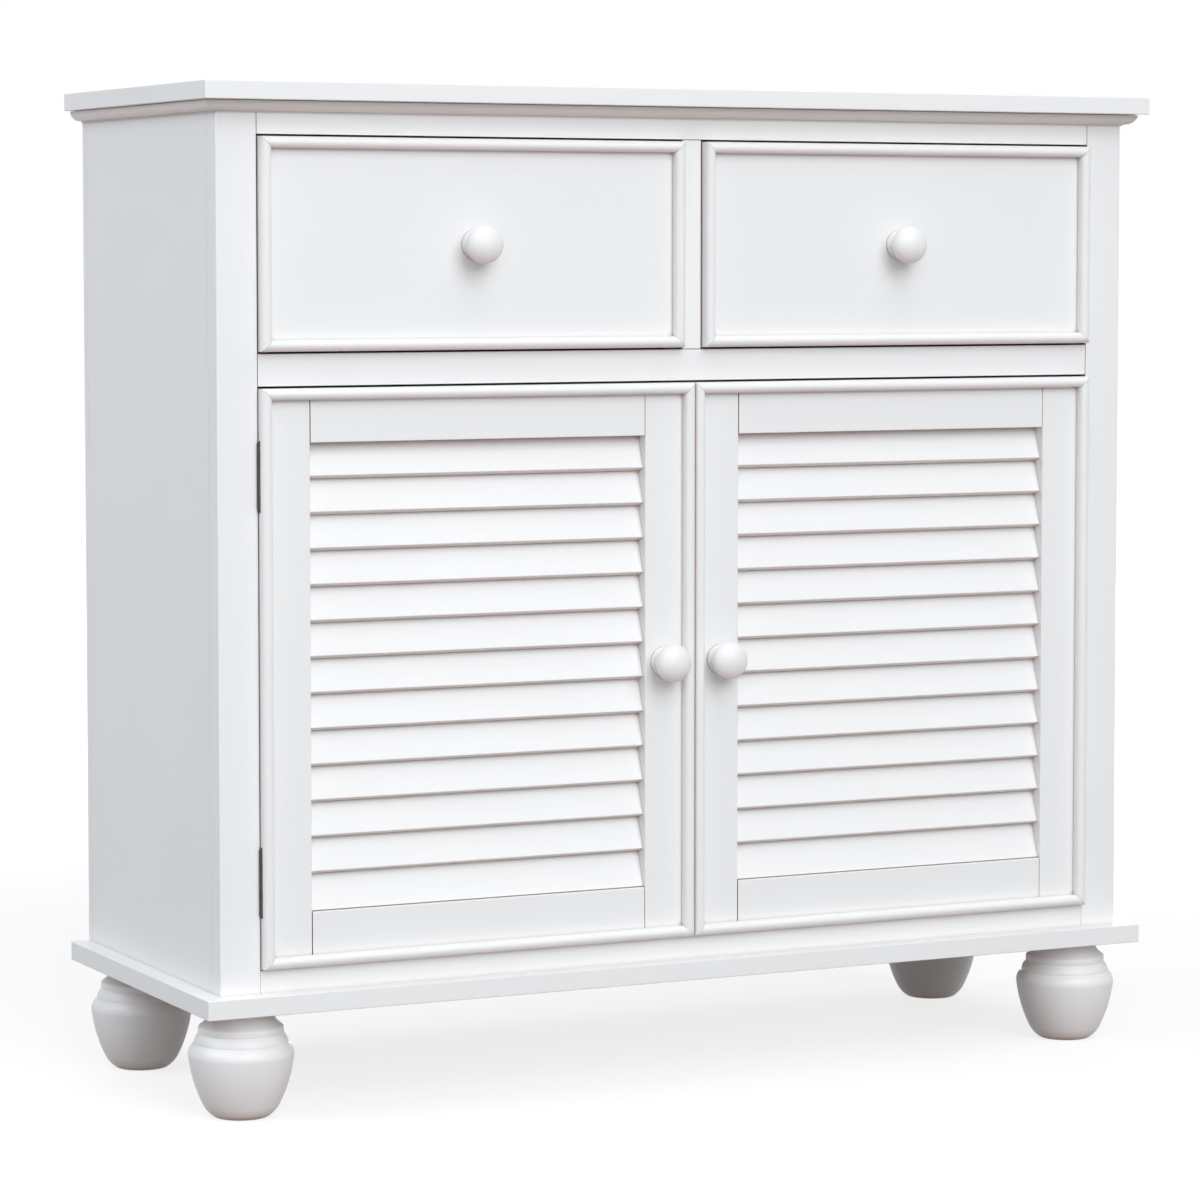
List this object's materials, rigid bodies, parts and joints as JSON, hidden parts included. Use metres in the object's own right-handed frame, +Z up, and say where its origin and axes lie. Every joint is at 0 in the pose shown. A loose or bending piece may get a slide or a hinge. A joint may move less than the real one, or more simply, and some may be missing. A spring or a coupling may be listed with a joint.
{
  "type": "louvred door cabinet",
  "caption": "Free-standing white wooden cabinet: beaded drawers over louvred doors with turned knobs, on bun feet.",
  "frame": {"origin": "on the floor, at the middle of the overall width and of the overall depth with the knobs", "axes": "+X to the right as seen from the front, +Y to the back, +Z up"},
  "size_m": [0.965, 0.3774, 0.914],
  "materials": {
    "white_paint": "satin white paint on wood",
    "bare_wood": "planed bare wood",
    "dark_bronze": "dark bronze plate",
    "zinc_steel": "zinc plate",
    "white_plastic": "moulded"
  },
  "bodies": {
    "carcass": {"top_panel": "white_paint", "cornice": "white_paint", "left_side_panel": "white_paint", "right_side_panel": "white_paint", "left_front_stile": "white_paint", "right_front_stile": "white_paint", "top_rail": "white_paint", "middle_rail": "white_paint", "bottom_rail": "white_paint", "drawer_mullion": "white_paint", "back_panel": "white_paint", "base_board": "white_paint", "floor_panel": "white_paint", "drawer_deck": "white_paint", "drawer_runner_strips": "bare_wood", "shelf": "white_paint", "shelf_pins": "zinc_steel", "front_left_foot": "white_paint", "front_right_foot": "white_paint", "back_left_foot": "white_paint", "back_right_foot": "white_paint", "foot_bolts": "zinc_steel", "magnetic_catch": "white_plastic", "frame_hinge_leaves": "dark_bronze", "hinge_pins": "dark_bronze", "frame_screws": "zinc_steel"},
    "left_door": {"left_door_outer_stile": "white_paint", "left_door_inner_stile": "white_paint", "left_door_top_rail": "white_paint", "left_door_bottom_rail": "white_paint", "left_door_slats": "white_paint", "left_door_bead": "white_paint", "left_door_knob": "white_paint", "left_door_hinge_leaves": "dark_bronze", "left_door_screws": "zinc_steel", "left_door_strike": "zinc_steel"},
    "left_drawer": {"left_drawer_front": "white_paint", "left_drawer_bead": "white_paint", "left_drawer_sides": "bare_wood", "left_drawer_back": "bare_wood", "left_drawer_bottom": "bare_wood", "left_drawer_knob": "white_paint", "left_drawer_knob_screw": "zinc_steel"},
    "right_door": {"right_door_outer_stile": "white_paint", "right_door_inner_stile": "white_paint", "right_door_top_rail": "white_paint", "right_door_bottom_rail": "white_paint", "right_door_slats": "white_paint", "right_door_bead": "white_paint", "right_door_knob": "white_paint", "right_door_hinge_leaves": "dark_bronze", "right_door_screws": "zinc_steel", "right_door_strike": "zinc_steel"},
    "right_drawer": {"right_drawer_front": "white_paint", "right_drawer_bead": "white_paint", "right_drawer_sides": "bare_wood", "right_drawer_back": "bare_wood", "right_drawer_bottom": "bare_wood", "right_drawer_knob": "white_paint", "right_drawer_knob_screw": "zinc_steel"}
  },
  "joints": [
    {"name": "left_door_hinge", "type": "hinge", "parent": "carcass", "child": "left_door", "pos_m": [-0.426, -0.1583, 0.392], "axis": [0, 0, -1], "range_deg": [0, 105]},
    {"name": "right_door_hinge", "type": "hinge", "parent": "carcass", "child": "right_door", "pos_m": [0.426, -0.1583, 0.392], "axis": [0, 0, 1], "range_deg": [0, 105]},
    {"name": "left_drawer_slide", "type": "slide", "parent": "carcass", "child": "left_drawer", "axis": [0, -1, 0], "range_m": [0, 0.24]},
    {"name": "right_drawer_slide", "type": "slide", "parent": "carcass", "child": "right_drawer", "axis": [0, -1, 0], "range_m": [0, 0.24]}
  ]
}
